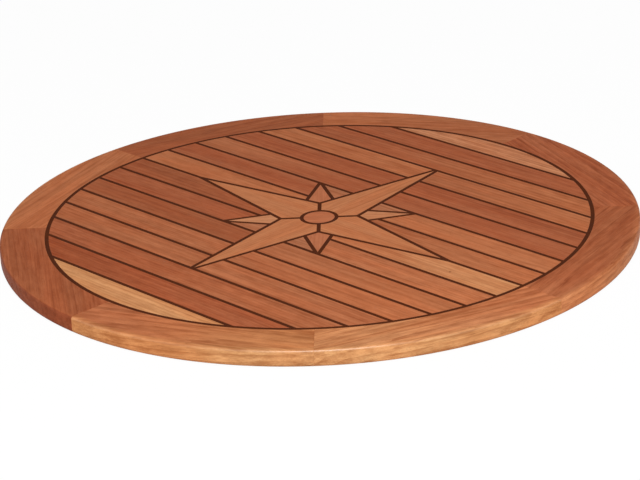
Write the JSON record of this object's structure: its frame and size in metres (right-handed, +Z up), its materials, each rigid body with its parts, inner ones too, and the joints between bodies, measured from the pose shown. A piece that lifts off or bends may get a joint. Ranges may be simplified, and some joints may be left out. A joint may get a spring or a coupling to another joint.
{
  "type": "boat table top",
  "caption": "Round teak table top for a boat, with a segmented rim, a deck of strips with dark seams and a compass rose let into the middle.",
  "frame": {"origin": "centre of the flat underside", "axes": "+Z up, square to the top; +X along the deck strips"},
  "size_m": [0.8, 0.8, 0.022],
  "materials": {
    "teak_rim": "oiled satin teak",
    "teak_strip": "oiled satin teak",
    "teak_rose": "oiled satin teak",
    "teak_backing": "teak-faced sheet, matt",
    "plywood": "marine plywood, bare",
    "seam_rubber": "poured seam rubber, sanded flush"
  },
  "bodies": {
    "root": {"backing_panel": "teak_backing", "core_board": "plywood", "rim_segment_1": "teak_rim", "rim_segment_2": "teak_rim", "rim_segment_3": "teak_rim", "rim_segment_4": "teak_rim", "rim_segment_5": "teak_rim", "rim_segment_6": "teak_rim", "rim_segment_7": "teak_rim", "rim_segment_8": "teak_rim", "rim_splines": "plywood", "seam_caulk": "seam_rubber", "star_disc": "teak_rose", "star_long_point_1": "teak_rose", "star_long_point_2": "teak_rose", "star_long_point_3": "teak_rose", "star_long_point_4": "teak_rose", "star_short_point_1": "teak_rose", "star_short_point_2": "teak_rose", "star_short_point_3": "teak_rose", "star_short_point_4": "teak_rose", "strip_01": "teak_strip", "strip_02": "teak_strip", "strip_03": "teak_strip", "strip_04_left": "teak_strip", "strip_04_right": "teak_strip", "strip_05_left": "teak_strip", "strip_05_right": "teak_strip", "strip_06_left": "teak_strip", "strip_06_right": "teak_strip", "strip_07_left": "teak_strip", "strip_07_left_wedge": "teak_strip", "strip_07_right": "teak_strip", "strip_07_right_wedge": "teak_strip", "strip_08_left": "teak_strip", "strip_08_right": "teak_strip", "strip_09_left": "teak_strip", "strip_09_right": "teak_strip", "strip_10_left": "teak_strip", "strip_10_left_wedge": "teak_strip", "strip_10_right": "teak_strip", "strip_10_right_wedge": "teak_strip", "strip_11_left": "teak_strip", "strip_11_right": "teak_strip", "strip_12_left": "teak_strip", "strip_12_right": "teak_strip", "strip_13_left": "teak_strip", "strip_13_right": "teak_strip", "strip_14": "teak_strip", "strip_15": "teak_strip", "strip_16": "teak_strip"}
  },
  "joints": []
}
